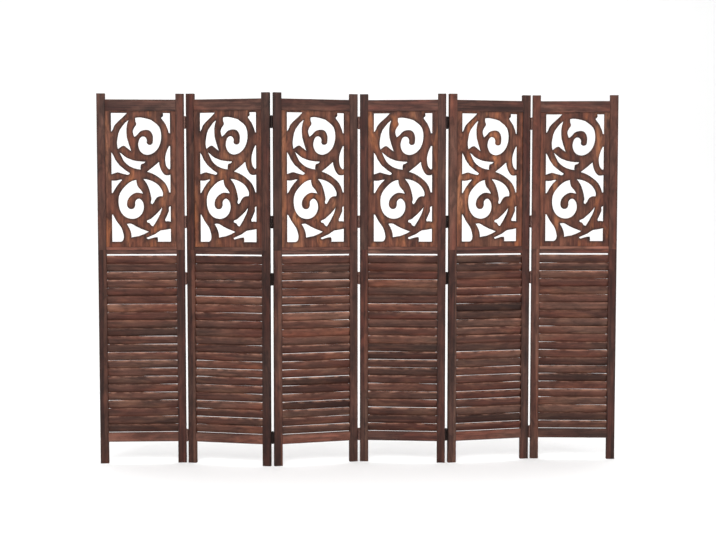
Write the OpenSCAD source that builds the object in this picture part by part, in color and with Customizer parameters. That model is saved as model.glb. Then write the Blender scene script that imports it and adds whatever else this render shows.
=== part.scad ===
/* [Screen] */
// Number of panels hinged in a row
panel_count = 6; // [2:1:6]
// Width of one panel over its posts
panel_w = 395; // [340:5:500]
// Height of the posts, from the floor to their tops
panel_h = 1700; // [1500:10:1900]
// Height of the lower frame, where the upper frame stands on it
lower_frame_h = 987; // [850:1:1100]

/* [Fold] */
// Fold of the first joint, front faces closing
fold_1 = 15; // [0:1:180]
// Fold of the second joint, back faces closing
fold_2 = 28; // [0:1:180]
// Fold of the third joint, front faces closing
fold_3 = 21; // [0:1:180]
// Fold of the fourth joint, back faces closing
fold_4 = 19; // [0:1:180]
// Fold of the fifth joint, front faces closing
fold_5 = 16; // [0:1:180]

/* [Posts] */
// Width of a post, seen from the front
post_w = 38; // [34:1:50]
// Depth of a post, front to back
post_t = 20; // [20:0.5:26]
// Radius of the softened long edges of posts and rails
edge_r = 1; // [0.5:0.25:2]
// Height of the open legs under the bottom rail
leg_h = 100; // [60:1:180]
// Height of the post tops above the top rail
horn_h = 27; // [10:1:60]
// Diameter of the dowel between the two lengths of a post
dowel_d = 8; // [6:1:10]
// Length of the dowel, half of it in each length
dowel_len = 50; // [30:2:60]

/* [Rails] */
// Depth of the rails, front to back
rail_t = 18; // [16:0.5:19]
// Height of the top rail
top_rail_h = 52; // [35:1:80]
// Height of the sill under the fretwork
sill_h = 14; // [12:1:30]
// Height of the head rail over the louvre
head_rail_h = 19; // [14:1:30]
// Height of the bottom rail
bottom_rail_h = 42; // [25:1:70]
// Thickness of the rail tenons
tenon_t = 8; // [5:0.5:9]
// Length of the rail tenons in the posts
tenon_len = 12; // [8:1:13]
// Shoulder above and below each tenon
tenon_shoulder = 2; // [1:0.5:4]

/* [Fretwork] */
// Thickness of the fretwork board
board_t = 10; // [6:0.5:12]
// Depth of the grooves that hold the board
groove_d = 6; // [4:0.5:8]
// Width of the board's plain border at each post
border_side = 26; // [15:1:45]
// Height of the plain border over the sill
border_bottom = 24; // [12:1:45]
// Height of the plain border under the top rail
border_top = 9; // [6:1:30]
// Largest turn in a cut outline from one of its short sides to the next, in degrees
curve_step = 10; // [8:1:24]

/* [Louvre] */
// Number of slats in a panel
slat_count = 22; // [16:1:23]
// Width of a slat across its face
slat_w = 40; // [34:0.5:41]
// Thickness of a slat
slat_t = 5; // [4:0.25:5.5]
// Lean of the slats, top edges forward, in degrees
slat_tilt = 20.5; // [16:0.5:22]
// Length of the tongue at each slat end
tongue_len = 8; // [5:0.5:10]
// Cut-back of the tongue at each edge of the slat
tongue_shoulder = 3; // [1:0.5:5]
// Gap between the bottom rail and the lowest slat
slat_gap_bottom = 1.5; // [1:0.5:10]
// Gap between the highest slat and the head rail
slat_gap_top = 7; // [1:0.5:20]

/* [Hinges] */
// Diameter of the knuckles, which is also the gap between two posts in line
knuckle_d = 8; // [7:0.5:10]
// Height of a hinge
hinge_h = 56; // [45:1:76]
// Width of the leaf on the post edge
leaf_w = 16; // [14:0.5:18]
// Thickness of the leaf
leaf_t = 1.5; // [1:0.25:2]
// Height of a hinge centre above the foot of its frame
inset_low = 129; // [60:1:200]
// Depth of a hinge centre below the top of its frame
inset_high = 131; // [60:1:200]
// Diameter of the screw shank
screw_d = 3.2; // [2.5:0.1:3.5]
// Diameter of the countersunk screw head
screw_head_d = 6; // [5:0.25:6.5]
// Length of a screw under the face of the leaf
screw_len = 16; // [12:0.5:18]
// Distance of the outer screws from the ends of the leaf
screw_end = 9; // [7:0.5:14]
// Distance of the middle screw from the knuckle side of the leaf
screw_near = 5.5; // [4.5:0.25:7]
// Distance of the outer screws from the knuckle side of the leaf
screw_far = 10.5; // [8:0.25:11]

/* [Hidden] */
// Glue line between two pieces that share a name
glue = 0.05;
// Running clearance of the pin in the right leaf, on the radius
pin_clear = 0.05;
// Clearance between neighbouring knuckles
knuckle_clear = 0.2;
// Knuckles in a hinge: the left leaf has those with odd numbers, from one
knuckle_count = 5;
// Height of the button on each end of a pin, and how far it stands out past the pin
button_h = 1.2;
button_out = 0.9;
// Length of a screw's point, its blunt end, and the width and depth of its slot
point_len = 4;
point_d = 0.6;
slot_w = 0.9;
slot_depth = 0.8;
// Overrun of every cut past the face that it opens
cut = 1;
$fn = 32;

folds = [fold_1, fold_2, fold_3, fold_4, fold_5];
clear_w = panel_w - 2 * post_w;
top_rail_top = panel_h - horn_h;
top_rail_bottom = top_rail_top - top_rail_h;
sill_top = lower_frame_h + sill_h;
head_rail_bottom = lower_frame_h - head_rail_h;
bottom_rail_top = leg_h + bottom_rail_h;

// Bottom and top of each tenon. The groove of the board takes the place of a shoulder.
bottom_rail_tenon = [leg_h + tenon_shoulder, bottom_rail_top - tenon_shoulder];
head_rail_tenon = [head_rail_bottom + tenon_shoulder, lower_frame_h - tenon_shoulder];
sill_tenon = [lower_frame_h + tenon_shoulder, sill_top - groove_d];
top_rail_tenon = [top_rail_bottom + groove_d, top_rail_top - tenon_shoulder];

// The opening of the fretwork inside the plain border of the board.
opening_w = clear_w - 2 * border_side;
opening_bottom = sill_top + border_bottom;
opening_h = top_rail_bottom - border_top - opening_bottom;

// The slats share the height between the bottom rail and the head rail.
slat_rise = (slat_w - slat_t) * cos(slat_tilt) + slat_t;
first_slat = bottom_rail_top + slat_gap_bottom + slat_rise / 2;
last_slat = head_rail_bottom - slat_gap_top - slat_rise / 2;
slat_pitch = (last_slat - first_slat) / (slat_count - 1);
tongue_w = slat_w - 2 * tongue_shoulder;

// A knuckle is the leaf rolled round the pin. The pin stands clear of the post's face.
pin_d = knuckle_d - 2 * leaf_t;
pin_out = knuckle_d / 2;
knuckle_pitch = hinge_h / knuckle_count;
hinge_heights = [inset_low, lower_frame_h - inset_high, lower_frame_h + inset_low, panel_h - inset_high];

// Screws of a leaf, as distance from its knuckle side and height from its middle.
screw_places = [[screw_far, hinge_h / 2 - screw_end], [screw_near, 0], [screw_far, screw_end - hinge_h / 2]];

// Joints with odd numbers have their pins in front, joints with even numbers behind.
function pin_side(joint) = joint % 2 == 1 ? -1 : 1;

// Turn of a panel about the vertical, counted from the first panel.
function turn(panel) = panel == 1 ? 0 : turn(panel - 1) + pin_side(panel - 1) * folds[panel - 2];
function swung(p, a) = [p.x * cos(a) - p.y * sin(a), p.x * sin(a) + p.y * cos(a)];

// Foot of a panel's left end: each panel meets the one before it at their common pin.
function start(panel) = panel == 1 ? [0, 0] :
    let (pin_y = pin_side(panel - 1) * (post_t / 2 + pin_out))
    start(panel - 1) + swung([panel_w + knuckle_d / 2, pin_y], turn(panel - 1))
    - swung([-knuckle_d / 2, pin_y], turn(panel));

// The row is swung until its two ends lie along X, and is centred over the origin.
row_end = start(panel_count) + swung([panel_w, 0], turn(panel_count));
row_turn = -atan2(row_end.y, row_end.x);
corner_centres = [for (i = [1 : panel_count], x = [edge_r, panel_w - edge_r], y = [-1, 1])
    swung(start(i) + swung([x, y * (post_t / 2 - edge_r)], turn(i)), row_turn)];
row_low = [min([for (p = corner_centres) p.x]), min([for (p = corner_centres) p.y])];
row_high = [max([for (p = corner_centres) p.x]), max([for (p = corner_centres) p.y])];
row_centre = (row_low + row_high) / 2;

// The cuts of the fretwork, drawn in an opening of this size from its lower left corner.
// Each is a closed outline of [x, z] points, with a third value where it has a sharp corner.
drawn_w = 271;
drawn_h = 588;
cuts = [
    // Upper left corner, over the tall leaf
    [[0, 588, 1], [74, 588, 1], [54, 568], [35, 551], [18, 530], [8, 507], [0, 503, 1]],
    // Tall cut between the left border's leaf and the upper scroll
    [[81, 554, 1], [52, 526], [31, 476], [27, 456], [31, 423, 1], [41, 431], [57, 438], [71, 428],
        [92, 414, 1], [82, 446], [74, 476], [71, 516]],
    // Round the eye of the upper scroll
    [[112, 566, 1], [134, 568], [164, 561], [196, 542], [219, 521], [230, 486], [227, 456], [214, 426],
        [189, 404], [164, 398], [139, 408], [126, 431], [124, 456], [131, 473], [144, 481], [159, 476],
        [164, 466], [164, 451], [174, 443], [186, 446], [192, 466], [189, 491], [174, 509], [154, 511],
        [134, 504], [119, 488], [107, 479, 1], [102, 491], [100, 506], [106, 521], [116, 538], [112, 551]],
    // Upper right corner
    [[271, 588, 1], [239, 588, 1], [236, 576], [229, 566], [232, 559], [249, 536], [259, 511],
        [264, 496, 1], [271, 496, 1]],
    // Right border, beside the upper scroll
    [[266, 438, 1], [271, 438, 1], [271, 336, 1], [269, 333], [256, 341], [249, 361], [248, 386],
        [254, 411]],
    // Under the upper scroll
    [[37, 408, 1], [49, 398], [74, 383], [99, 373], [134, 367], [156, 366, 1], [149, 359], [137, 354],
        [134, 344], [134, 331, 1], [114, 334], [84, 346], [59, 371]],
    // Left border, above the middle
    [[0, 408, 1], [4, 404], [19, 376], [39, 351], [64, 328], [84, 314, 1], [82, 310], [59, 310],
        [44, 314], [29, 318], [14, 314], [0, 309, 1]],
    // Right border, at the middle
    [[164, 321, 1], [196, 346], [219, 366, 1], [224, 341], [234, 319], [246, 306], [259, 304],
        [271, 307, 1], [271, 226, 1], [265, 226, 1], [254, 253], [234, 279], [204, 304], [174, 318]],
    // Left border, under the middle
    [[0, 280, 1], [24, 280], [39, 284], [50, 284, 1], [34, 268], [19, 246], [6, 223, 1], [0, 223, 1]],
    // Round the eye of the lower scroll
    [[114, 283, 1], [116, 266], [122, 251], [134, 238], [144, 221, 1], [129, 224], [114, 225], [94, 216],
        [79, 201], [70, 176], [72, 161], [84, 150], [99, 152], [107, 166], [108, 184], [116, 194],
        [126, 197], [139, 188], [147, 166], [144, 141], [129, 118], [104, 106], [84, 106], [59, 116],
        [39, 141], [32, 166], [32, 191], [41, 224], [64, 256], [94, 278]],
    // Between the lower scroll and the right border's leaf
    [[146, 287, 1], [169, 284], [199, 271], [224, 246], [236, 216], [234, 208, 1], [219, 208], [206, 201],
        [192, 181], [186, 172, 1], [180, 176], [181, 201], [174, 236], [162, 266]],
    // Small leaf on the lower right
    [[232, 158, 1], [222, 126], [206, 96], [190, 71, 1], [179, 76], [174, 84], [162, 89, 1], [160, 93],
        [179, 106], [204, 126]],
    // Right border, beside the small leaf
    [[264, 160], [271, 162, 1], [271, 92, 1], [259, 94], [246, 93, 1], [244, 96], [252, 116], [259, 136]],
    // Lower left corner
    [[0, 124, 1], [5, 124, 1], [24, 96], [42, 66], [52, 36], [53, 16], [46, 3], [37, 0, 1], [0, 0, 1]],
    // Under the lower scroll
    [[68, 81, 1], [89, 82], [109, 71], [134, 59], [169, 47, 1], [149, 36], [124, 26], [94, 21],
        [89, 19, 1], [88, 36], [82, 56]],
    // Lower right corner
    [[271, 59, 1], [256, 56], [244, 54], [224, 51], [199, 36], [174, 26], [159, 18, 1], [162, 14],
        [179, 17], [194, 21], [209, 21, 1], [211, 11], [210, 0, 1], [271, 0, 1]]
];

function unit(v) = v / norm(v);
function angle_between(u, v) = acos(max(-1, min(1, u * v)));
function mirrored(v, u) = 2 * (u * v) * u - v;

// A point of an outline, fitted to the opening. Numbers run on past the end.
function at(row, i) =
    let (p = row[(i + len(row)) % len(row)])
    [p.x * opening_w / drawn_w, p.y * opening_h / drawn_h];
function sharp(row, i) = len(row[(i + len(row)) % len(row)]) > 2;

// Direction through a smooth point: the tangent of the circle through it and its neighbours.
function flow(row, i) =
    let (back = at(row, i) - at(row, i - 1), ahead = at(row, i + 1) - at(row, i))
    unit(unit(back) * norm(ahead) + unit(ahead) * norm(back));

// Directions at the two ends of one stretch. From a sharp corner it leaves as a plain arc would.
function leaving(row, i) =
    let (u = unit(at(row, i + 1) - at(row, i)))
    !sharp(row, i) ? flow(row, i) : sharp(row, i + 1) ? u : mirrored(flow(row, i + 1), u);
function arriving(row, i) =
    let (u = unit(at(row, i + 1) - at(row, i)))
    !sharp(row, i + 1) ? flow(row, i + 1) : sharp(row, i) ? u : mirrored(flow(row, i), u);

// One stretch of an outline, bent between its two directions.
function stretch(row, i) =
    let (a = at(row, i), b = at(row, i + 1), u = unit(b - a), ta = leaving(row, i), tb = arriving(row, i),
        bend = angle_between(ta, u) + angle_between(u, tb),
        reach = norm(b - a) / (3 * pow(cos(bend / 4), 2)),
        steps = max(1, ceil(bend / curve_step)))
    [for (k = [0 : steps - 1]) let (t = k / steps, s = 1 - t)
        s * s * s * a + 3 * s * s * t * (a + ta * reach) + 3 * s * t * t * (b - tb * reach) + t * t * t * b];
function outline(row) = [for (i = [0 : len(row) - 1]) each stretch(row, i)];

post_colour = "#5c4037";
rail_colour = "#6a483a";
board_colour = "#7a4c39";
slat_colour = "#644439";
leaf_colour = "#4a4640";
pin_colour = "#6b665c";
screw_colour = "#8a857a";

// A panel stands along X from its left end, with the room side at -Y and the floor at Z = 0.
module in_panel(i) {
    p = swung(start(i), row_turn) - row_centre;
    translate([p.x, p.y, 0])
        rotate([0, 0, turn(i) + row_turn])
            children();
}

// A rectangle centred across Y with softened corners, from X = 0.
module soft_rect(w, t) {
    translate([edge_r, -t / 2])
        square([w - 2 * edge_r, t]);
    translate([0, edge_r - t / 2])
        square([w, t - 2 * edge_r]);
    for (x = [edge_r, w - edge_r], y = [-1, 1])
        translate([x, y * (t / 2 - edge_r)])
            circle(edge_r);
}

// Tenons at both ends of a rail. As a cut, the same shape makes the mortises.
module tenons(heights) {
    for (x = [post_w - tenon_len, panel_w - post_w - cut])
        translate([x, -tenon_t / 2, heights[0]])
            cube([tenon_len + cut, tenon_t, heights[1] - heights[0]]);
}

// A rail between the posts with its tenons.
module rail(bottom, top, tenon_heights) {
    translate([post_w, 0, top])
        rotate([0, 90, 0])
            linear_extrude(clear_w)
                soft_rect(top - bottom, rail_t);
    tenons(tenon_heights);
}

// The fretwork board before it is cut. It also cuts its grooves in the posts and rails.
module board_blank() {
    translate([post_w - groove_d, -board_t / 2, sill_top - groove_d])
        cube([clear_w + 2 * groove_d, board_t, top_rail_bottom - sill_top + 2 * groove_d]);
}

// A stick with flat faces and round edges, leaning forward at the top, over a length of X.
module slat_stick(x0, x1, w) {
    translate([x0, 0, 0])
        rotate([90, 0, 90])
            linear_extrude(x1 - x0)
                rotate(slat_tilt) {
                    square([slat_t, w - slat_t], center = true);
                    for (y = [-1, 1])
                        translate([0, y * (w - slat_t) / 2])
                            circle(slat_t / 2);
                }
}

module at_slats() {
    for (k = [0 : slat_count - 1])
        translate([0, 0, first_slat + k * slat_pitch])
            children();
}

// The tongues of a slat run in slots of the same shape in the posts.
module tongues() {
    slat_stick(post_w - tongue_len, panel_w - post_w + tongue_len, tongue_w);
}

// The edge of a post under its hinges: X points out of the wood, and Y from the pin's side into it.
module at_hinges(side, right) {
    for (z = hinge_heights)
        translate([right ? panel_w : 0, side * post_t / 2, z])
            mirror([right ? 0 : 1, 0, 0])
                mirror([0, side > 0 ? 1 : 0, 0])
                    children();
}

// Countersunk wood screw without its slot, which is also the hole it makes.
module screw_blank() {
    head_h = (screw_head_d - screw_d) / 2;
    cylinder(d1 = screw_head_d, d2 = screw_d, h = head_h);
    cylinder(d = screw_d, h = screw_len - point_len);
    translate([0, 0, screw_len - point_len])
        cylinder(d1 = screw_d, d2 = point_d, h = point_len);
}

module at_screws() {
    for (p = screw_places)
        translate([leaf_t, p.x, p.y])
            rotate([0, -90, 0])
                children();
}

module screw() {
    difference() {
        screw_blank();
        translate([-screw_head_d / 2, -slot_w / 2, -cut])
            cube([screw_head_d, slot_w, cut + slot_depth]);
    }
}

// A leaf with every second knuckle, counted from the first one given.
module leaf(first_knuckle, bore_d) {
    difference() {
        union() {
            translate([0, 0, -hinge_h / 2])
                cube([leaf_t, leaf_w, hinge_h]);
            for (k = [first_knuckle : 2 : knuckle_count])
                translate([0, 0, (k - 1) * knuckle_pitch - (hinge_h - knuckle_clear) / 2])
                    linear_extrude(knuckle_pitch - knuckle_clear) {
                        translate([pin_out, -pin_out])
                            circle(d = knuckle_d);
                        translate([0, -pin_out])
                            square([leaf_t, pin_out + leaf_t]);
                    }
        }
        translate([pin_out, -pin_out, -hinge_h / 2 - cut])
            cylinder(d = bore_d, h = hinge_h + 2 * cut);
        at_screws()
            screw_blank();
    }
}

// A pin with a button on each end, seated on the outer knuckles.
module pin() {
    half = (hinge_h - knuckle_clear) / 2;
    translate([pin_out, -pin_out, -half - button_h])
        cylinder(d = pin_d, h = 2 * (half + button_h));
    for (z = [-half - button_h, half])
        translate([pin_out, -pin_out, z])
            cylinder(d = pin_d + 2 * button_out, h = button_h);
}

// Hinged edges of a panel: its left edge closes the joint before it, its right edge opens the next.
module at_panel_hinges(i) {
    if (i > 1)
        at_hinges(pin_side(i - 1), false)
            children();
    if (i < panel_count)
        at_hinges(pin_side(i), true)
            children();
}

// A post is two lengths, one in each frame, with a dowel from one into the other.
module post(i, right) {
    x = right ? panel_w - post_w : 0;
    color(post_colour)
        in_panel(i) {
            difference() {
                for (span = [[0, lower_frame_h - glue / 2], [lower_frame_h + glue / 2, panel_h]])
                    translate([x, 0, span[0]])
                        linear_extrude(span[1] - span[0])
                            soft_rect(post_w, post_t);
                translate([x + post_w / 2, 0, lower_frame_h - dowel_len / 2 - glue])
                    cylinder(d = dowel_d + 2 * glue, h = dowel_len + 2 * glue);
                tenons(bottom_rail_tenon);
                tenons(head_rail_tenon);
                tenons(sill_tenon);
                tenons(top_rail_tenon);
                board_blank();
                at_slats()
                    tongues();
                at_panel_hinges(i)
                    at_screws()
                        screw_blank();
            }
            translate([x + post_w / 2, 0, lower_frame_h - dowel_len / 2])
                cylinder(d = dowel_d, h = dowel_len);
        }
}

module top_rail(i) {
    color(rail_colour)
        in_panel(i)
            difference() {
                rail(top_rail_bottom, top_rail_top, top_rail_tenon);
                board_blank();
            }
}

// The sill of the upper frame on the head rail of the lower one.
module mid_rails(i) {
    color(rail_colour)
        in_panel(i) {
            rail(head_rail_bottom, lower_frame_h - glue / 2, head_rail_tenon);
            difference() {
                rail(lower_frame_h + glue / 2, sill_top, sill_tenon);
                board_blank();
            }
        }
}

module bottom_rail(i) {
    color(rail_colour)
        in_panel(i)
            rail(leg_h, bottom_rail_top, bottom_rail_tenon);
}

module fretwork(i) {
    color(board_colour)
        in_panel(i)
            difference() {
                board_blank();
                translate([post_w + border_side, board_t / 2 + cut, opening_bottom])
                    rotate([90, 0, 0])
                        linear_extrude(board_t + 2 * cut)
                            for (row = cuts)
                                polygon(outline(row));
            }
}

module slats(i) {
    color(slat_colour)
        in_panel(i)
            at_slats() {
                slat_stick(post_w, panel_w - post_w, slat_w);
                tongues();
            }
}

// The left leaf of a joint grips the pin. The right leaf turns on it.
module hinge_leaves(i) {
    color(leaf_colour)
        in_panel(i) {
            if (i > 1)
                at_hinges(pin_side(i - 1), false)
                    leaf(2, pin_d + 2 * pin_clear);
            if (i < panel_count)
                at_hinges(pin_side(i), true)
                    leaf(1, pin_d);
        }
}

module hinge_screws(i) {
    color(screw_colour)
        in_panel(i)
            at_panel_hinges(i)
                at_screws()
                    screw();
}

module hinge_pins(j) {
    color(pin_colour)
        in_panel(j)
            at_hinges(pin_side(j), true)
                pin();
}

for (i = [1 : panel_count]) {
    post(i, false);
    post(i, true);
    top_rail(i);
    mid_rails(i);
    bottom_rail(i);
    fretwork(i);
    slats(i);
    hinge_leaves(i);
    hinge_screws(i);
}
for (j = [1 : panel_count - 1]) {
    hinge_pins(j);
}
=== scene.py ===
import math
import random

import bmesh
import bpy
from mathutils import Matrix, Vector
from mathutils.geometry import delaunay_2d_cdt


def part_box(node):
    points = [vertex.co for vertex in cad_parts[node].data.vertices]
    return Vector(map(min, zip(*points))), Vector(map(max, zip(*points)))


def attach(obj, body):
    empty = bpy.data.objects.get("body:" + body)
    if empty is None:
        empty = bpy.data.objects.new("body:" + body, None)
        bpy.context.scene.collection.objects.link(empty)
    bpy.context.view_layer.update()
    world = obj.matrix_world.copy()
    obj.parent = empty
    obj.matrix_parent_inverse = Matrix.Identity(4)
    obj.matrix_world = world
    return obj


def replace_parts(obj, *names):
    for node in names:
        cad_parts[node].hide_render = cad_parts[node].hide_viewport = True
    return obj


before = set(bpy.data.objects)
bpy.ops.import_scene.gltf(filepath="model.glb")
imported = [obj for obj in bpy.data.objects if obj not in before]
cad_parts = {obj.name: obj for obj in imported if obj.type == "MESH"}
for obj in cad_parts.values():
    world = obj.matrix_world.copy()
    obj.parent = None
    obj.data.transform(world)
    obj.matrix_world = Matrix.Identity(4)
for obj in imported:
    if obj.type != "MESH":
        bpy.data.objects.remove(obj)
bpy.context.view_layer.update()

# Posts. Two to a panel, flat sticks of dark-stained softwood with lightly rubbed edges. Each is two
# lengths, the upper doweled onto the lower, so a fine dark joint runs across it above the louvre. The
# ends are sawn square and show a darker end grain.
panels = range(1, 7)
post_w = 0.038
post_t = 0.020
post_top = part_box("left_post_1")[1].z
post_joint = 0.987
post_arris = 0.0013
post_waver = 0.00004
waver_room = 0.0001
post_seed = 100

# How light each length is, panel by panel, the lower lengths before the upper. 0 is as the stain gives it.
post_tones = {
    "left": ((-0.35, -0.12, -0.15, -0.12, -0.10, 0.15), (0.08, -0.10, -0.30, -0.05, 0.38, 0.38)),
    "right": ((-0.05, -0.45, 0.03, -0.05, -0.05, -0.15), (0.36, -0.10, 0.10, 0.06, -0.10, 0.35)),
}

# Lines of points inside a stick's edges, on its narrow sides and its broad faces: how far in each lies, and
# how much of the edge's darkening is left there, partly stain gathered at the edge and partly painted shade.
narrow_lines = ((0.005, 0.0), (0.0015, 0.5))
broad_lines = ((0.006, 0.0), (0.0018, 0.5))

# What each point of the wood carries: its tone, where it is worn pale (on the slats' top edges a painted
# highlight instead), where it shows end grain, where its edges are darkened, partly by stain gathered there
# and partly by painted shade, and its hollows with painted shade, how dull it is, and how far it lies past
# the middle of a stick towards a sapwood edge.
wood_marks = ("tone", "wear_and_highlight", "endgrain", "stain_and_shade", "dull", "sapside")


def srgb(*shades):
    """A colour given as 0-255 display values, as the shader wants it."""
    parts = [shade / 255 for shade in shades]
    return (*(p / 12.92 if p <= 0.04045 else ((p + 0.055) / 1.055) ** 2.4 for p in parts), 1.0)


def darker(colour, by):
    return tuple(by * c for c in colour[:3]) + (1.0,)


def post_middles(n):
    return [sum(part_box(f"{side}_post_{n}"), Vector()) / 2 for side in ("left", "right")]


def panel_width(n):
    left, right = post_middles(n)
    return Vector((right.x - left.x, right.y - left.y)).length + post_w


def panel_place(n):
    """From a panel's own X (across), Y (to the back) and Z (up), which start at the foot of its left edge,
    to where it stands in the row."""
    left, right = post_middles(n)
    along = Vector((right.x - left.x, right.y - left.y, 0)).normalized()
    place = Matrix(((along.x, -along.y, 0), (along.y, along.x, 0), (0, 0, 1))).to_4x4()
    place.translation = Vector((left.x, left.y, 0)) - along * post_w / 2
    return place


def stick_place(origin, along, across):
    """From a stick's own length, width and thickness to where it lies in the panel."""
    along, across = Vector(along), Vector(across)
    place = Matrix((along, across, along.cross(across))).transposed().to_4x4()
    place.translation = Vector(origin)
    return place


def cut_from(rng):
    """A random place in the timber, so that no two pieces share their figure."""
    return Vector((rng.uniform(-9, 9), rng.uniform(-3, 3), rng.uniform(-3, 3)))


def new_wood():
    """An empty mesh whose points carry their place in the timber and the marks."""
    bm = bmesh.new()
    bm.verts.layers.float_vector.new("grain")
    for name in wood_marks:
        bm.verts.layers.float.new(name)
    return bm


def wood_point(bm, at, grain, *marks):
    point = bm.verts.new(at)
    point[bm.verts.layers.float_vector["grain"]] = grain
    for name, value in zip(wood_marks, marks):
        point[bm.verts.layers.float[name]] = value
    return point


def join_rows(bm, one, two):
    """Faces between two closed rows of as many points."""
    for i in range(len(one)):
        j = (i + 1) % len(one)
        bm.faces.new((one[i], one[j], two[j], two[i]))


def soft_section(width, depth, arris):
    """Points round a stick with rounded edges. Each has its place across and through, how far it can be
    worn pale, how far its edge is darkened, partly as stain gathered there and partly as painted shade, and
    how far it belongs to the duller narrow sides."""
    out = []
    for k, (sx, sy) in enumerate(((1, 1), (-1, 1), (-1, -1), (1, -1))):
        cx, cy = sx * (width / 2 - arris), sy * (depth / 2 - arris)
        narrow = [(cx + sx * arris, cy - sy * inside, 0.0, edge_darkening, 1.0) for inside, edge_darkening in narrow_lines]
        broad = [(cx - sx * inside, cy + sy * arris, 0.0, edge_darkening, 0.0) for inside, edge_darkening in broad_lines]
        first, last = (narrow, broad) if k % 2 == 0 else (broad, narrow)
        out += first
        for a in range(0, 91, 30):
            t = math.radians(a + 90 * k)
            out.append((cx + arris * math.cos(t), cy + arris * math.sin(t), 1.0, 1.0, abs(math.cos(t))))
        out += last[::-1]
    return out


def add_stick(bm, place, length, section, tone, rng, rings=12, waver=0.0001, bend=None, chamfer=0.0005,
              stain_and_shade=0.0, sapside=None, shoulders=(), trim=None):
    """A sawn stick along the first axis of its place, with points all round it at even rings and at the
    shoulders. bend(t) gives how far it lies across and through and how far it is turned, at t from 0 to 1
    along it, sapside(v) how near the sapwood edge it is, v across it, and trim(u, v) what is pared off."""
    cut = cut_from(rng)
    even = [length * k / rings for k in range(1, rings)]
    stations = [0.0, chamfer, *sorted([*even, *shoulders]), length - chamfer, length]
    rows = []
    for u in stations:
        end = u in (0.0, length)
        across, through, turn = bend(u / length) if bend else (0.0, 0.0, 0.0)
        across += rng.uniform(-waver, waver)
        through += rng.uniform(-waver, waver)
        c, s = math.cos(turn), math.sin(turn)
        row = []
        for v, w, wear_and_highlight_share, edge_darkening, dull in section:
            v -= trim(u, v) if trim else 0.0
            if end:
                v, w = v - math.copysign(chamfer, v), w - math.copysign(chamfer, w)
            at = place @ Vector((u, c * v - s * w + across, s * v + c * w + through))
            sap = sapside(v) if sapside else -1.0
            marks = (tone, wear_and_highlight_share, float(end), stain_and_shade * edge_darkening, dull, sap)
            row.append(wood_point(bm, at, cut + Vector((u, v, w)), *marks))
        rows.append(row)
    for one, two in zip(rows, rows[1:]):
        join_rows(bm, one, two)
    bm.faces.new(rows[0][::-1])
    bm.faces.new(rows[-1])


def set_piece(bm, name, n, material, sharp=38):
    """Turns the mesh into a piece that rides on its panel. Edges that turn by more degrees than sharp stay
    crisp."""
    bmesh.ops.recalc_face_normals(bm, faces=bm.faces)
    for e in bm.edges:
        e.smooth = len(e.link_faces) == 2 and e.calc_face_angle(0) < math.radians(sharp)
    for f in bm.faces:
        f.smooth = True
    mesh = bpy.data.meshes.new(name)
    bm.to_mesh(mesh)
    bm.free()
    mesh.materials.append(material)
    piece = bpy.data.objects.new(name, mesh)
    bpy.context.collection.objects.link(piece)
    piece.matrix_world = panel_place(n)
    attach(piece, f"panel_{n}")
    return piece


class Finish:
    """A material in the making: its shader, and the kinds of node that the finishes are mixed from."""

    def __init__(self, name):
        self.material = bpy.data.materials.new(name)
        self.material.use_nodes = True
        self.shader = self.material.node_tree.nodes["Principled BSDF"]

    def node(self, kind, **settings):
        made = self.material.node_tree.nodes.new(kind)
        for key, value in settings.items():
            setattr(made, key, value)
        return made

    def fill(self, node, values):
        """Sets inputs of a node, by name or number, to a value, or links another node's result to them."""
        for title, value in values.items():
            if isinstance(value, bpy.types.NodeSocket):
                self.material.node_tree.links.new(value, node.inputs[title])
            else:
                node.inputs[title].default_value = value

    def mark(self, name, output="Fac"):
        return self.node("ShaderNodeAttribute", attribute_name=name).outputs[output]

    def noise(self, place, scale, detail, rough=0.5, warp=0.0):
        made = self.node("ShaderNodeTexNoise")
        self.fill(made, {"Vector": place, "Scale": scale, "Detail": detail})
        self.fill(made, {"Roughness": rough, "Distortion": warp})
        return made.outputs["Fac"]

    def figure(self, along, across, detail, rough, warp=0.0):
        """Noise drawn out along the grain, from how often it changes in a metre along and across."""
        mapping = self.node("ShaderNodeMapping")
        self.fill(mapping, {"Vector": self.mark("grain", "Vector"), "Scale": (along, across, across)})
        return self.noise(mapping.outputs["Vector"], 1.0, detail, rough, warp)

    def sum_of(self, operation, *values):
        made = self.node("ShaderNodeMath", operation=operation)
        self.fill(made, dict(enumerate(values)))
        return made.outputs[0]

    def spread(self, value, low, high, out_low=0.0, out_high=1.0, ease="SMOOTHSTEP"):
        """Takes low and what is under it to out_low, and high and what is over it to out_high."""
        made = self.node("ShaderNodeMapRange", interpolation_type=ease)
        self.fill(made, {"Value": value, "From Min": low, "From Max": high})
        self.fill(made, {"To Min": out_low, "To Max": out_high})
        return made.outputs["Result"]

    def mix(self, share, under, over):
        made = self.node("ShaderNodeMix", data_type="RGBA")
        self.fill(made, {0: share, 6: under, 7: over})
        return made.outputs[2]

    def coat(self, under, where, strength, over):
        return self.mix(self.sum_of("MULTIPLY", where, strength), under, over)

    def relief(self, height, strength, depth):
        bump = self.node("ShaderNodeBump")
        self.fill(bump, {"Height": height, "Strength": strength, "Distance": depth})
        self.fill(self.shader, {"Normal": bump.outputs["Normal"]})


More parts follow.
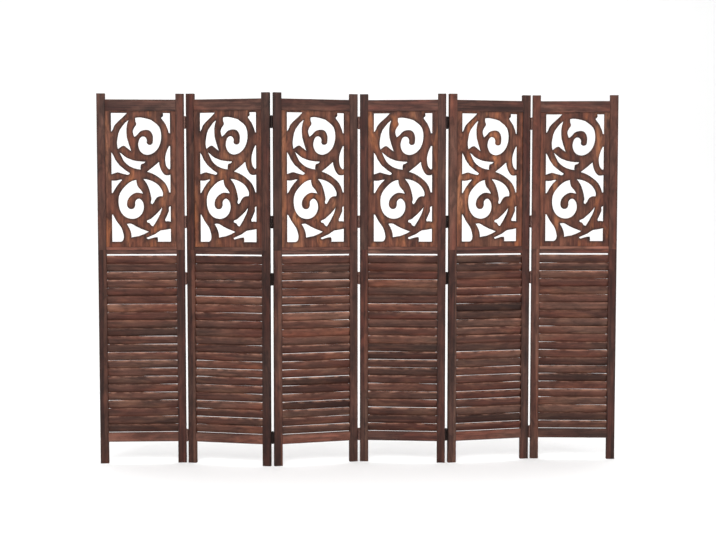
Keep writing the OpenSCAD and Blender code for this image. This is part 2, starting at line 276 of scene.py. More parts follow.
def stain(name, deep, body, pale, stain_and_shade, patches=0.5, wear_and_highlight_share=0.35, wear_and_highlight=None, cast=1.0, sapling=0.5,
          smoky=0.35):
    """Stained timber: bands, growth rings, streaks and pores along the grain, patches where the stain took
    less and smoky ones where it took more, a paler sapwood edge, tone and a slight cast from stick to stick,
    dark edges that are partly stain gathered there and partly painted shade, painted shade in hollows, worn
    pale in places, with a painted highlight on the slats' top edges where that colour is given, and dark end
    grain."""
    wood = Finish(name)
    bands = wood.spread(wood.figure(1.7, 48, 3.0, 0.6, 0.3), 0.34, 0.66)
    streaks = wood.spread(wood.figure(4.0, 210, 4.0, 0.6, 0.2), 0.30, 0.70)
    contour = wood.sum_of("MULTIPLY", wood.figure(0.9, 15, 2.0, 0.45, 0.3), 15.0)
    rings = wood.spread(wood.sum_of("PINGPONG", contour, 0.5), 0.04, 0.40)
    hairs = wood.spread(wood.figure(14, 560, 3.0, 0.6), 0.36, 0.64)
    pores = wood.spread(wood.figure(65, 1500, 2.0, 0.5), 0.58, 0.70)
    clouds = wood.spread(wood.figure(9, 30, 3.0, 0.6, 0.4), 0.30, 0.70)
    bare = wood.spread(wood.figure(4.5, 17, 3.0, 0.6, 0.5), 0.50, 0.72)
    worn = wood.spread(wood.figure(22, 60, 3.0, 0.6), 0.38, 0.66)
    smoke = wood.spread(wood.figure(11, 26, 3.0, 0.6, 0.8), 0.48, 0.68)
    wander = wood.spread(wood.figure(1.1, 4, 2.0, 0.5), 0.2, 0.8, -0.25, 0.25)
    sapwood = wood.spread(wood.sum_of("ADD", wood.mark("sapside"), wander), 0.10, 0.20)
    mood = wood.figure(2.4, 9, 2.0, 0.5)

    figured = wood.sum_of("MULTIPLY_ADD", bands, 0.7, wood.sum_of("MULTIPLY", streaks, 0.3))
    colour = wood.mix(figured, deep, body)
    colour = wood.coat(colour, rings, 0.38, deep)
    colour = wood.coat(colour, bare, patches, pale)
    colour = wood.coat(colour, sapwood, sapling, pale)
    colour = wood.coat(colour, wood.mark("tone"), 0.5, pale)

    shifted = wood.node("ShaderNodeHueSaturation")
    hue = wood.spread(mood, 0.30, 0.70, 0.5 - 0.004 * cast, 0.5 + 0.007 * cast)
    depth = wood.spread(mood, 0.25, 0.75, 1.04 + 0.10 * cast, 1.04 - 0.12 * cast)
    wood.fill(shifted, {"Hue": hue, "Saturation": depth, "Color": colour})
    cloudy = wood.sum_of("MULTIPLY_ADD", clouds, 0.5, 0.75 + 0.12 * smoky)
    tone = wood.sum_of("MULTIPLY", wood.sum_of("ADD", wood.mark("tone"), 1.0), cloudy)
    toned = wood.node("ShaderNodeVectorMath", operation="SCALE")
    wood.fill(toned, {0: shifted.outputs["Color"], "Scale": tone})

    colour = wood.mix(wood.sum_of("MULTIPLY_ADD", hairs, -0.22, 0.22), toned.outputs[0], darker(deep, 0.6))
    colour = wood.coat(colour, pores, 0.55, darker(deep, 0.35))
    colour = wood.coat(colour, smoke, smoky, darker(deep, 0.35))
    # Dark edges, partly stain gathered there and partly painted shade, and painted shade in the hollows at
    # the leaf tips.
    colour = wood.coat(colour, wood.mark("stain_and_shade"), wood.sum_of("MULTIPLY_ADD", clouds, -0.45, 1.12), stain_and_shade)
    # Edges worn pale in patches; on the slats, a painted highlight along their top edges.
    colour = wood.coat(colour, wood.mark("wear_and_highlight"), wood.sum_of("MULTIPLY", worn, wear_and_highlight_share), wear_and_highlight or pale)
    colour = wood.coat(colour, wood.mark("endgrain"), 0.55, darker(deep, 0.5))

    rough = wood.sum_of("MULTIPLY_ADD", pores, 0.12, wood.sum_of("MULTIPLY_ADD", streaks, -0.12, 0.60))
    gloss = wood.sum_of("MULTIPLY_ADD", wood.mark("dull"), -0.20, 0.22)
    wood.fill(wood.shader, {"Base Color": colour, "Roughness": rough, "Specular IOR Level": gloss})
    height = wood.sum_of("MULTIPLY_ADD", streaks, 0.55, wood.sum_of("MULTIPLY", rings, -0.25))
    height = wood.sum_of("MULTIPLY_ADD", hairs, 0.35, height)
    height = wood.sum_of("MULTIPLY_ADD", pores, -0.7, height)
    wood.relief(height, 0.45, 0.0004)
    return wood.material


def inner_edge(v):
    """The lower left post shows paler wood on the side of the slats."""
    return v / post_w


# The fourth colour darkens the edges, partly as stain gathered there and partly as painted shade.
post_stain = stain("post_stain", srgb(46, 25, 20), srgb(87, 52, 44), srgb(116, 77, 63), srgb(30, 18, 16),
                   patches=0.3, smoky=0.5)
for n in panels:
    rng = random.Random(post_seed + n)
    for side, x in (("left", post_w / 2), ("right", panel_width(n) - post_w / 2)):
        bm = new_wood()
        for z0, z1, tones in zip((0.0, post_joint), (post_joint, post_top), post_tones[side]):
            place = stick_place((x, 0, z0), (0, 0, 1), (1, 0, 0))
            section = soft_section(post_w - waver_room, post_t - waver_room, post_arris)
            add_stick(bm, place, z1 - z0, section, tones[n - 1], rng, rings=16, waver=post_waver, stain_and_shade=0.7,
                      sapside=inner_edge if side == "left" and z0 == 0 else None)
        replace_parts(set_piece(bm, f"{side}_post_{n}_wood", n, post_stain), f"{side}_post_{n}")

# Rails. A deep top rail over the fretwork, a thin sill under it standing on the louvre's head rail, and a
# bottom rail over the legs. Each is a softwood stick with its grain along it, tenoned into the posts, and
# set a millimetre behind their faces.
rail_t = 0.018
rail_arris = 0.0010
rail_seed = 200
rail_tones = {
    "top_rail": (-0.10, 0.10, -0.28, -0.02, -0.18, 0.04),
    # The sill's high tones are partly its own paler wood and partly a painted highlight along its narrow lit
    # front.
    "sill": (0.60, 0.08, 0.40, 0.30, 0.06, 0.75),
    "head_rail": (0.08, -0.20, 0.08, 0.01, -0.15, 0.10),
    "bottom_rail": (0.35, 0.26, 0.42, -0.06, 0.32, -0.36),
}
# The fourth colour darkens the edges, partly as stain gathered there and partly as painted shade.
rail_stain = stain("rail_stain", srgb(49, 29, 25), srgb(101, 63, 54), srgb(136, 93, 77), srgb(36, 23, 20),
                   patches=0.4)

# The ends run a little into the posts, which hide them and their small chamfers.
rail_lap = 0.0002
hidden_chamfer = 0.0002


def between_posts(n, lap):
    """The length of a stick whose ends run this far into both posts of a panel."""
    return panel_width(n) - 2 * post_w + 2 * lap


def add_rail(bm, n, bottom, top, tone, rng):
    place = stick_place((post_w - rail_lap, 0, (bottom + top) / 2), (1, 0, 0), (0, 0, 1))
    section = soft_section(top - bottom, rail_t, rail_arris)
    add_stick(bm, place, between_posts(n, rail_lap), section, tone, rng, chamfer=hidden_chamfer, stain_and_shade=0.6)


for n in panels:
    rng = random.Random(rail_seed + n)
    for name in ("top_rail", "bottom_rail"):
        low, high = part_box(f"{name}_{n}")
        bm = new_wood()
        add_rail(bm, n, low.z, high.z, rail_tones[name][n - 1], rng)
        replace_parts(set_piece(bm, f"{name}_{n}_wood", n, rail_stain), f"{name}_{n}")
    low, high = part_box(f"mid_rails_{n}")
    bm = new_wood()
    add_rail(bm, n, low.z, post_joint, rail_tones["head_rail"][n - 1], rng)
    add_rail(bm, n, post_joint, high.z, rail_tones["sill"][n - 1], rng)
    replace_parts(set_piece(bm, f"mid_rails_{n}_wood", n, rail_stain), f"mid_rails_{n}")

# Fretwork boards. One flat board to a panel, held in grooves, sawn through in two opposed scrolls with
# leaves. The sawn edges are rounded over by hand and darkened along them, partly by stain gathered there
# and partly by painted shade, while the flats between show red-brown wood with its grain upright.
board_t = 0.010
board_round = 0.0020
board_seed = 300
board_tones = (0.08, -0.06, 0.05, 0.02, 0.15, -0.03)
board_stain = stain("board_stain", srgb(67, 38, 31), srgb(118, 73, 57), srgb(167, 107, 74), srgb(30, 18, 16),
                    patches=0.75, cast=0.5, sapling=0.3, smoky=0.6)

# The width of the pale sapwood down the left edge of two boards, and how fast it sets in there.
board_sapwood = {3: 0.040, 4: 0.024}
sapwood_rise = 10

# How far the darkening reaches in from a sawn edge, partly stain gathered there and partly painted shade,
# how strong it is there and how it fades, and how strong the painted shade is in a hollow.
edge_dark_reach = 0.0074
edge_dark_strength = 0.97
edge_fade = 1.6
hollow_shade_strength = 1.15

# Shallow gouged hollows at the curled leaf tips, darkened with painted shade: how far across and up the
# panel each lies, and its reach.
leaf_hollows = ((0.2016, 1.3666, 0.0090), (0.2945, 1.5995, 0.0090), (0.2640, 1.0385, 0.0120))
hollow_depth = 0.003
hollow_bowl = 1.2

# Where the sawn line strays from the drawn one: how far across and up the panel, how far it strays to the
# right and up, and how far round that place. It strays less and less near the frame.
saw_strays = ((0.088, 1.530, -0.0035, 0.0025, 0.030), (0.280, 1.560, 0.0030, 0.0040, 0.035),
              (0.305, 1.600, 0.0040, -0.0020, 0.010), (0.322, 1.170, 0.0035, 0.0, 0.014),
              (0.247, 1.213, 0.0035, 0.0, 0.012), (0.090, 1.124, -0.0030, -0.0015, 0.018),
              (0.298, 1.288, 0.0025, 0.0020, 0.028), (0.110, 1.388, -0.0025, -0.0020, 0.030),
              (0.092, 1.240, -0.0025, 0.0010, 0.030), (0.141, 1.486, -0.0030, 0.0, 0.016),
              (0.195, 1.485, 0.0025, 0.0, 0.016), (0.325, 1.528, 0.0015, 0.0030, 0.020),
              (0.134, 1.457, 0.0005, 0.0018, 0.018), (0.292, 1.594, 0.0010, -0.0022, 0.010),
              (0.306, 1.123, 0.0020, 0.0, 0.014), (0.232, 1.126, 0.0010, -0.0012, 0.016),
              (0.243, 1.056, 0.0, -0.0025, 0.022), (0.244, 1.577, 0.0018, 0.0035, 0.018),
              (0.110, 1.422, 0.0010, 0.0035, 0.018), (0.136, 1.572, -0.0010, 0.0040, 0.013))
stray_fade = 0.010

# Points on the flats: rows that follow each opening, as how far in and every how many points, rings in each
# hollow, as a share of its reach and how many points, and an even grid. None lies much nearer to an opening
# than its own row does, and none close to a rim or to the frame. Past stain_reach no stain is left to show.
stain_rows = ((0.0038, 1), (0.0068, 2), (0.0105, 2))
hollow_rings = ((0.0, 1), (0.35, 6), (0.7, 10), (1.05, 14))
flat_step = 0.013
own_share = 0.93
rim_room = 0.0012
frame_room = 0.002
stain_reach = 0.02

# How far apart two places may be and still be one, and how far from flat a face may be.
same_place = 0.000001
flat_within = 0.00001


def board_outlines(n):
    """The edges of the board's front face, in the panel's own X and Z: closed rows of points."""
    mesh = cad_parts[f"fretwork_{n}"].data
    back = panel_place(n).inverted()
    points = [back @ v.co for v in mesh.vertices]
    front = min(p.y for p in points) + flat_within
    places = [(round(p.x, 6), round(p.z, 6)) for p in points]
    mesh.calc_loop_triangles()
    edges = {}
    for t in mesh.loop_triangles:
        if all(points[i].y < front for i in t.vertices):
            corners = [places[i] for i in t.vertices]
            for a, b in zip(corners, corners[1:] + corners[:1]):
                if (b, a) in edges:
                    del edges[(b, a)]
                else:
                    edges[(a, b)] = True
    follow = dict(edges.keys())
    rows = []
    while follow:
        start, at = next(iter(follow.items()))
        row = [start]
        del follow[start]
        while at != start:
            row.append(at)
            at = follow.pop(at)
        rows.append([Vector(p) for p in row])
    return rows


def row_width(row):
    return max(p.x for p in row) - min(p.x for p in row)


def left_of(way):
    return Vector((-way.y, way.x))


def inset_row(row, by, most=1.35):
    """A closed row of points moved into the wood, which lies to the left of its direction. A sharp corner
    moves further than the rest, but at most so many times as far."""
    out = []
    for i, p in enumerate(row):
        before = left_of((p - row[i - 1]).normalized())
        after = left_of((row[(i + 1) % len(row)] - p).normalized())
        across = before + after
        across = across.normalized() if across.length > same_place else before
        out.append(p + across * by * (1.0 / max(across.dot(before), 1.0 / most)))
    return out


def near_row(p, rows):
    """The distance from a point to the nearest of the closed rows."""
    best = math.inf
    for row in rows:
        for i, b in enumerate(row):
            a = row[i - 1]
            ab = b - a
            t = max(0.0, min(1.0, (p - a).dot(ab) / max(ab.length_squared, same_place ** 2)))
            best = min(best, (a + ab * t - p).length_squared)
    return math.sqrt(best)


def inside_row(p, row):
    """Whether a line to the right from the point crosses the closed row an odd number of times."""
    odd = False
    for i, b in enumerate(row):
        a = row[i - 1]
        if (a.y > p.y) != (b.y > p.y) and p.x < (b.x - a.x) * (p.y - a.y) / (b.y - a.y) + a.x:
            odd = not odd
    return odd


def eased(t):
    """From 0 to 1 with a soft start and end."""
    return t * t * (3 - 2 * t)


def sawn_true(rows):
    """Moves the outlines of the openings to where the sawn line strays."""
    points = [p for row in rows for p in row]
    x0, x1 = min(p.x for p in points), max(p.x for p in points)
    z0, z1 = min(p.y for p in points), max(p.y for p in points)

    def moved(p):
        free = min(p.x - x0, x1 - p.x, p.y - z0, z1 - p.y) / stray_fade
        shift = Vector((0, 0))
        for x, z, right, up, reach in saw_strays:
            away = (p - Vector((x, z))).length / reach
            shift += Vector((right, up)) * math.exp(-away * away)
        return p + shift * eased(max(0.0, min(1.0, free)))

    return [[moved(p) for p in row] for row in rows]


def hollow_at(p):
    """How deep a point lies in the hollows at the leaf tips, from 0 to 1."""
    depths = [1.0 - ((p - Vector((x, z))).length / reach) ** 2 for x, z, reach in leaf_hollows]
    return max(0.0, *depths) ** hollow_bowl


def board_pattern(rows):
    """The flat of the board between the rounded edges: its points, how far each lies from a sawn edge, its
    triangles, the numbers of the points along its outer edge, and for each opening the sawn edge and the
    numbers of the points along its rim."""
    rows = sorted(rows, key=row_width, reverse=True)
    outer, holes = rows[0], sawn_true(rows[1:])
    points, edges, drawn = [], [], []
    for row in [outer] + [inset_row(hole, board_round) for hole in holes]:
        numbers = list(range(len(points), len(points) + len(row)))
        points += row
        edges += zip(numbers, numbers[1:] + numbers[:1])
        drawn.append(numbers)
    rims = [[points[i] for i in numbers] for numbers in drawn[1:]]
    low = Vector((min(p.x for p in outer), min(p.y for p in outer)))
    high = Vector((max(p.x for p in outer), max(p.y for p in outer)))
    around = [(min(p.x for p in hole) - stain_reach, max(p.x for p in hole) + stain_reach,
               min(p.y for p in hole) - stain_reach, max(p.y for p in hole) + stain_reach, hole)
              for hole in holes]

    def beside(p):
        return [hole for x0, x1, y0, y1, hole in around if x0 < p.x < x1 and y0 < p.y < y1]

    def from_edge(p):
        close = beside(p)
        return near_row(p, close) if close else stain_reach

    def clear(p):
        return (low.x + frame_room < p.x < high.x - frame_room
                and low.y + frame_room < p.y < high.y - frame_room
                and not any(inside_row(p, hole) for hole in beside(p))
                and from_edge(p) > board_round + rim_room)

    inner = [p for hole in holes for inside, every in stain_rows for p in inset_row(hole[::every], inside)
             if from_edge(p) > own_share * inside]
    inner += [Vector((x, z)) + Vector((math.cos(a), math.sin(a))) * share * reach
              for x, z, reach in leaf_hollows for share, turns in hollow_rings
              for a in (math.tau * k / turns for k in range(turns))]
    inner += [Vector((low.x + flat_step * (i + 0.5), low.y + flat_step * (j + 0.5)))
              for i in range(int((high.x - low.x) / flat_step))
              for j in range(int((high.y - low.y) / flat_step))]
    inner = [p for p in inner if clear(p)]

    flat, _, triangles, given, _, _ = delaunay_2d_cdt(points + inner, edges, [], 0, same_place)
    number = {old: new for new, olds in enumerate(given) for old in olds}
    triangles = [t for t in triangles
                 if not any(inside_row((flat[t[0]] + flat[t[1]] + flat[t[2]]) / 3, rim) for rim in rims)]
    drawn = [[number[i] for i in numbers] for numbers in drawn]
    return flat, [from_edge(p) for p in flat], triangles, drawn[0], list(zip(holes, drawn[1:]))


board_flat, board_inside, board_faces, board_edge, board_openings = board_pattern(board_outlines(1))


def add_board(bm, tone, rng, sap):
    """The front and back flats, the rounded edges of the openings, and the outer edge in its grooves."""
    cut = cut_from(rng)
    left = min(p.x for p in board_flat)

    def point(p, y, inside, edge=0.0):
        hollow = hollow_at(p)
        sunk = hollow * hollow_depth if y < 0 else 0.0
        # The sawn edges are darkened, partly as stain gathered there and partly as painted shade, and the
        # hollows at the leaf tips with painted shade.
        darkened_edge = edge_dark_strength * math.exp(-((inside / edge_dark_reach) ** edge_fade))
        stain_and_shade = min(1.0, max(hollow_shade_strength * hollow, darkened_edge))
        sapside = sapwood_rise * (left + sap - p.x) if sap else -1.0
        grain = cut + Vector((p.y, p.x, y))
        return wood_point(bm, (p.x, y + sunk, p.y), grain, tone, edge, 0.0, stain_and_shade, edge, sapside)

    outer, rounds = [], []
    for side in (-1, 1):
        flat = [point(p, side * board_t / 2, inside) for p, inside in zip(board_flat, board_inside)]
        for a, b, c in board_faces:
            bm.faces.new((flat[a], flat[b], flat[c]) if side > 0 else (flat[c], flat[b], flat[a]))
        outer.append([flat[i] for i in board_edge])
        rounds.append([])
        for hole, rim in board_openings:
            rows = [[flat[i] for i in rim]]
            for turn in (30, 60, 90):
                t = math.radians(turn)
                y = side * (board_t / 2 - board_round * (1 - math.cos(t)))
                places = [h + (board_flat[i] - h) * (1 - math.sin(t)) for h, i in zip(hole, rim)]
                rows.append([point(p, y, 0.0, 1.0) for p in places])
            rounds[-1].append(rows)
    join_rows(bm, *outer)
    for front, behind in zip(*rounds):
        rows = front + behind[::-1]
        for one, two in zip(rows, rows[1:]):
            join_rows(bm, one, two)


for n in panels:
    bm = new_wood()
    add_board(bm, board_tones[n - 1], random.Random(board_seed + n), board_sapwood.get(n, 0.0))
    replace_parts(set_piece(bm, f"fretwork_{n}_board", n, board_stain), f"fretwork_{n}")

# Louvre slats. Thin boards with rounded edges, let into slanting slots in the posts, their top edges
# forward. They are sawn from mixed stock, so each has its own tone and figure, and each lies a little
# bowed or turned, which lets the light through between some of them.
slat_count = 22
slat_w = 0.040
slat_t = 0.005
slat_lean = math.radians(20.5)
slat_lap = 0.001
slat_seed = 400
# The pale edge colour here is a painted highlight along the slats' top edges, in worn-looking patches.
slat_stain = stain("slat_stain", srgb(63, 39, 33), srgb(102, 65, 55), srgb(134, 93, 74), srgb(36, 23, 20),
                   patches=0.4, wear_and_highlight_share=0.6, wear_and_highlight=srgb(196, 146, 124))

# The slats of each panel that are lighter or darker than the rest, counted from the lowest, and by how much
# the rest may differ.
light_slats = {1: {16: 0.4, 12: 0.2, 10: 0.2}, 2: {17: 0.4, 16: 0.3, 9: 0.2, 8: 0.25, 6: 0.2},
               3: {15: 0.45, 13: 0.25, 9: 0.25, 8: 0.2, 17: 0.15}, 4: {19: 0.4, 12: 0.15, 21: 0.1, 4: 0.15},
               5: {13: 0.15, 10: 0.25, 17: 0.15}, 6: {20: 0.4, 10: 0.2, 5: 0.25, 3: 0.2}}
dark_slats = {1: {1: -0.5, 13: -0.5, 11: -0.15, 21: -0.2}, 2: {22: -0.35, 11: -0.3, 10: -0.2, 5: -0.2},
              3: {7: -0.6, 4: -0.45, 16: -0.2, 20: -0.2},
              4: {10: -0.45, 9: -0.35, 8: -0.5, 22: -0.25, 11: -0.3},
              5: {16: -0.55, 2: -0.45, 11: -0.3, 15: -0.3, 22: -0.25, 9: -0.2},
              6: {9: -0.35, 7: -0.35, 2: -0.35, 21: -0.3, 18: -0.2}}
slat_mood = 0.18

# How the light comes past each slat's top edge, a letter to a slat from the lowest. A letter says how wide
# the light is at four places from the left, in millimetres, and how strong a painted highlight that top edge
# gets: those that stand apart get a paler one.
gap_words = {1: "dbderbrrnnrrd.dn.dtn.", 2: "dFafbnefetb..trtf.t.d", 3: "frnfeaFaeft.dbnlndft.",
             4: "edFbnetnfl.tt.rn..n..", 5: "fbaffbfrdf.ttt.art..m", 6: "fdrafaendeadad..d.dna"}
gap_kinds = {
    "F": ((1.7, 1.7, 1.7, 1.7), 1.0),  # widest
    "f": ((1.1, 1.1, 1.1, 1.1), 0.9),  # all along
    "n": ((0.5, 0.6, 0.6, 0.5), 0.8),  # all along but fine
    "t": ((0.0, 0.1, 0.1, 0.0), 0.7),  # a mere thread
    "l": ((1.1, 0.7, 0.0, -0.2), 0.7),  # towards the left
    "r": ((-0.2, 0.1, 0.9, 1.2), 0.7),  # towards the right
    "e": ((1.2, 0.0, 0.0, 1.2), 0.6),  # at both ends
    "m": ((-0.3, 0.1, 0.9, -0.3), 0.5),  # right of the middle
    "a": ((1.1, -0.2, -0.3, -0.2), 0.4),  # a short way in from the left
    "b": ((-0.2, -0.3, -0.1, 1.2), 0.4),  # a short way in from the right
    "d": ((0.2, -0.3, -0.3, 0.2), 0.3),  # only a glint at the ends
    ".": ((-0.3, -0.3, -0.3, -0.3), 0.2),  # none
}
gap_waver = 0.0002
top_slat_highlight = 0.6
lower_edge_highlight = 0.15

# How much wider than straight slats leave it the gap under the lowest slat is, and the one over the highest.
under_lowest = 0.0010
over_highest = -0.0017

# Where the picture was taken from: how high, and how far from the panels.
camera_height, camera_reach = 1.23, 5.63

# The top edge is pared off for a short run at each end, more where light comes past, and steps up between
# two rows of points at the shoulder.
shoulder_length = 0.009
open_glint, shut_glint = 0.0011, 0.0006
step_before, step_after = 0.0006, 0.0002

# Lines of points on a slat's faces inside its round edges, and one where the painted highlight down its
# front runs out.
slat_line = 0.0028
highlight_line = 0.010
front_highlight = 0.45


def slat_section(edge_highlight):
    """Points round a thin board with round edges, as soft_section gives them. The upper edge carries a
    painted highlight, in worn-looking patches, that runs out down the front, and the lower edge a little of
    it."""
    r = slat_t / 2
    out = []
    for s, wear_and_highlight_share in ((1, edge_highlight), (-1, lower_edge_highlight)):
        out.append((s * (slat_w / 2 - r - slat_line), -s * r, 0.0, 0.0, 0.0))
        for a in range(0, 181, 30):
            t = math.radians(a)
            out.append((s * (slat_w / 2 - r + r * math.sin(t)), -s * r * math.cos(t), wear_and_highlight_share, 0.0, 0.5))
        out.append((s * (slat_w / 2 - r - slat_line), s * r, front_highlight * edge_highlight if s > 0 else 0.0, 0.0, 0.0))
        if s > 0:
            out.append((slat_w / 2 - r - highlight_line, r, 0.0, 0.0, 0.0))
    return out


def along_four(values, t, end=0.1):
    """A smooth value between four set along a slat, the first and last a tenth in from its ends."""
    at = min(max((t - end) / (1 - 2 * end), 0.0), 1.0) * 3
    k = min(int(at), 2)
    blend = eased(at - k)
    return values[k] * (1 - blend) + values[k + 1] * blend


def gap_wants(n, lowest, pitch, rise, reach, rng):
    """How much wider than straight slats leave it each gap is to be, in metres at four places, from the gap
    under the lowest slat to the one over the highest, as seen from where the picture was taken."""
    wants = [(under_lowest,) * 4]
    for k, kind in enumerate(gap_words[n]):
        z = lowest + (k + 0.5) * pitch
        straight = pitch - rise + reach * (camera_height - z) / camera_reach
        wants.append(tuple(w / 1000 + rng.uniform(-gap_waver, gap_waver) - straight
                           for w in gap_kinds[kind][0]))
    return wants + [(over_highest,) * 4]


def lying_between(under, over, reach):
    """The bend of a slat that does half of what the gaps under and over it want: it moves off the one that
    is to be wider, and turns flatter to leave more of both."""
    def bend(t):
        below, above = along_four(under, t), along_four(over, t)
        return (below - above) / 4, 0.0, (below + above) / 2 / reach
    return bend


def pared_ends(pared, runs, length):
    """The trim of a slat's upper half, by so much and for so long a run at its left and right ends."""
    def trim(u, v):
        off = pared[0] if u < runs[0] else pared[1] if u > length - runs[1] else 0.0
        return off * max(v, 0.0) / (slat_w / 2)
    return trim


for n in panels:
    rng = random.Random(slat_seed + n)
    low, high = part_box(f"slats_{n}")
    rise = (slat_w - slat_t) * math.cos(slat_lean) + slat_t
    reach = (slat_w - slat_t) * math.sin(slat_lean)
    lowest = low.z + rise / 2
    pitch = (high.z - rise / 2 - lowest) / (slat_count - 1)
    wants = gap_wants(n, lowest, pitch, rise, reach, rng)
    length = between_posts(n, slat_lap)
    up = (0, -math.sin(slat_lean), math.cos(slat_lean))
    bm = new_wood()
    for k in range(slat_count):
        kind = gap_words[n][k:k + 1]
        glint = shut_glint if kind in ("", ".") else open_glint
        pared = [glint * rng.uniform(0.3, 1.1) for _ in range(2)]
        runs = [shoulder_length * rng.uniform(0.7, 1.3) for _ in range(2)]
        steps = (runs[0] - step_before, runs[0] + step_after,
                 length - runs[1] - step_after, length - runs[1] + step_before)
        odd = light_slats[n].get(k + 1, 0) + dark_slats[n].get(k + 1, 0)
        tone = rng.uniform(-slat_mood, slat_mood) + odd
        place = stick_place((post_w - slat_lap, 0, lowest + pitch * k), (1, 0, 0), up)
        section = slat_section(gap_kinds[kind][1] if kind else top_slat_highlight)
        add_stick(bm, place, length, section, tone, rng, rings=14, chamfer=hidden_chamfer, shoulders=steps,
                  bend=lying_between(wants[k], wants[k + 1], reach), trim=pared_ends(pared, runs, length))
    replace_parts(set_piece(bm, f"slats_{n}_wood", n, slat_stain), f"slats_{n}")

# Hinges. Four butt hinges to a joint, rolled from steel strip and lacquered dark bronze, their knuckles
# proud of the posts, in front at one joint and behind at the next. Each leaf has three countersunk
# slotted screws, and the pin ends in small buttons. Their shapes are the solids' own, with eased edges.
hinge_reach = 0.04
back_joints = (2, 4)
# How strong the painted shade on the hinges at the back joints is.
back_hinge_shade = 0.85
seam_gap = 0.00001


def plated(name, dark, warm, worn, metal, rough):
    """Lacquered or bronzed steel: uneven film, fine scratches and a few brighter rubs, and painted shade
    darkening the hinges at the joints that open to the back, which sit in shadow between the posts."""
    steel = Finish(name)
    place = steel.node("ShaderNodeTexCoord").outputs["Object"]
    film = steel.spread(steel.noise(place, 90, 4), 0.35, 0.65, ease="LINEAR")
    rubs = steel.spread(steel.noise(place, 340, 5), 0.58, 0.72, ease="LINEAR")
    fine = steel.spread(steel.noise(place, 2400, 3), 0.3, 0.7, ease="LINEAR")
    colour = steel.mix(rubs, steel.mix(film, dark, warm), worn)
    across = steel.node("ShaderNodeSeparateXYZ")
    steel.fill(across, {0: place})
    behind = []
    for joint in back_joints:
        low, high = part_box(f"hinge_pins_{joint}")
        behind.append(steel.sum_of("COMPARE", across.outputs["X"], (low.x + high.x) / 2, hinge_reach))
    # Painted shade on the hinges at the joints that open to the back.
    colour = steel.coat(colour, steel.sum_of("MAXIMUM", *behind), back_hinge_shade, srgb(24, 18, 16))
    uneven = steel.sum_of("MULTIPLY_ADD", fine, 0.2, rough)
    steel.fill(steel.shader, {"Base Color": colour, "Roughness": uneven, "Metallic": metal})
    steel.relief(fine, 0.25, 0.0001)
    return steel.material


leaf_lacquer = plated("leaf_lacquer", srgb(78, 52, 46), srgb(108, 76, 68), srgb(156, 116, 96), 0.45, 0.40)
pin_bronze = plated("pin_bronze", srgb(84, 58, 50), srgb(116, 84, 72), srgb(160, 126, 104), 0.5, 0.36)
screw_bronze = plated("screw_bronze", srgb(96, 74, 62), srgb(130, 102, 84), srgb(176, 146, 118), 0.7, 0.32)
hinge_finishes = {"hinge_leaves": (leaf_lacquer, 0.00025), "hinge_pins": (pin_bronze, 0.0003),
                  "hinge_screws": (screw_bronze, 0.00012)}
for name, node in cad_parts.items():
    kind = name.rpartition("_")[0]
    if kind in hinge_finishes:
        metal, ease = hinge_finishes[kind]
        node.data.materials.clear()
        node.data.materials.append(metal)
        weld = node.modifiers.new("close_seams", "WELD")
        weld.merge_threshold = seam_gap
        edge = node.modifiers.new("eased_edges", "BEVEL")
        edge.width, edge.segments, edge.limit_method = ease, 2, "ANGLE"
        edge.angle_limit = math.radians(50)

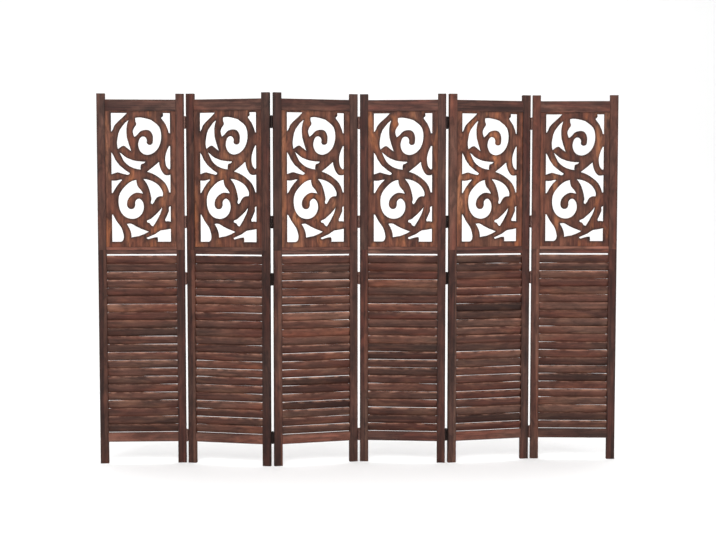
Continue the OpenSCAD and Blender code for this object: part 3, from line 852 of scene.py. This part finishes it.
# Floor and backdrop: one pale sweep of matt paper, level under the screen and curving up far behind it. It
# isn't part of the screen.
sweep_side = 12
sweep_front = -9.0
sweep_bend = 4.0
sweep_round = 3.0
sweep_top = 9.0
profile = [(sweep_front, 0.0), (sweep_bend, 0.0)]
for a in range(9, 91, 9):
    t = math.radians(a)
    profile.append((sweep_bend + sweep_round * math.sin(t), sweep_round - sweep_round * math.cos(t)))
profile.append((sweep_bend + sweep_round, sweep_top))
sweep = bmesh.new()
for (y0, z0), (y1, z1) in zip(profile, profile[1:]):
    corners = ((-sweep_side, y0, z0), (sweep_side, y0, z0), (sweep_side, y1, z1), (-sweep_side, y1, z1))
    sweep.faces.new([sweep.verts.new(p) for p in corners]).smooth = True
bmesh.ops.remove_doubles(sweep, verts=sweep.verts, dist=0.0001)
sweep_mesh = bpy.data.meshes.new("pale_sweep")
sweep.to_mesh(sweep_mesh)
sweep.free()
paper = Finish("pale_paper")
cloudy = paper.node("ShaderNodeTexNoise")
paper.fill(cloudy, {"Scale": 3.0})
tint = paper.mix(cloudy.outputs["Fac"], (0.95, 0.95, 0.95, 1), (0.97, 0.97, 0.97, 1))
paper.fill(paper.shader, {"Base Color": tint, "Roughness": 0.9})
sweep_mesh.materials.append(paper.material)
backdrop = bpy.data.objects.new("pale_sweep", sweep_mesh)
bpy.context.collection.objects.link(backdrop)


# Light: a broad soft key from above and in front, a weaker one from the right, one overhead, a wash on the
# backdrop, and an even pale surround.
def soft_light(name, place, toward, size, watts):
    data = bpy.data.lights.new(name, "AREA")
    data.shape, data.size, data.size_y, data.energy = "RECTANGLE", *size, watts
    lamp = bpy.data.objects.new(name, data)
    bpy.context.collection.objects.link(lamp)
    lamp.location = place
    lamp.rotation_euler = (Vector(toward) - Vector(place)).to_track_quat("-Z", "Y").to_euler()


soft_light("key", (-1.2, -5.2, 4.2), (0, 0, 0.8), (5.0, 2.6), 286)
soft_light("fill", (4.0, -4.6, 2.6), (0, 0, 0.9), (2.5, 2.5), 80)
soft_light("back_wash", (0, 3.0, 5.6), (0, 6.0, 1.0), (11.0, 2.0), 150)
soft_light("overhead", (0, 0.6, 4.8), (0, 0.5, 0), (6.5, 3.5), 145)
world = bpy.data.worlds.new("pale_surround")
bpy.context.scene.world = world
world.use_nodes = True
world.node_tree.nodes["Background"].inputs["Color"].default_value = (1.0, 1.0, 1.0, 1.0)
world.node_tree.nodes["Background"].inputs["Strength"].default_value = 0.40
bpy.context.scene.view_settings.view_transform = "Standard"

# Camera, at the height and distance that the picture was taken from.
lens = bpy.data.cameras.new("camera")
lens.sensor_width = 36.0
lens.lens = 61.67
camera = bpy.data.objects.new("camera", lens)
bpy.context.collection.objects.link(camera)
camera.location = (-0.2405, -5.6291, 1.2266)
camera.rotation_euler = (math.radians(86.625), 0, math.radians(-2.353))
bpy.context.scene.camera = camera
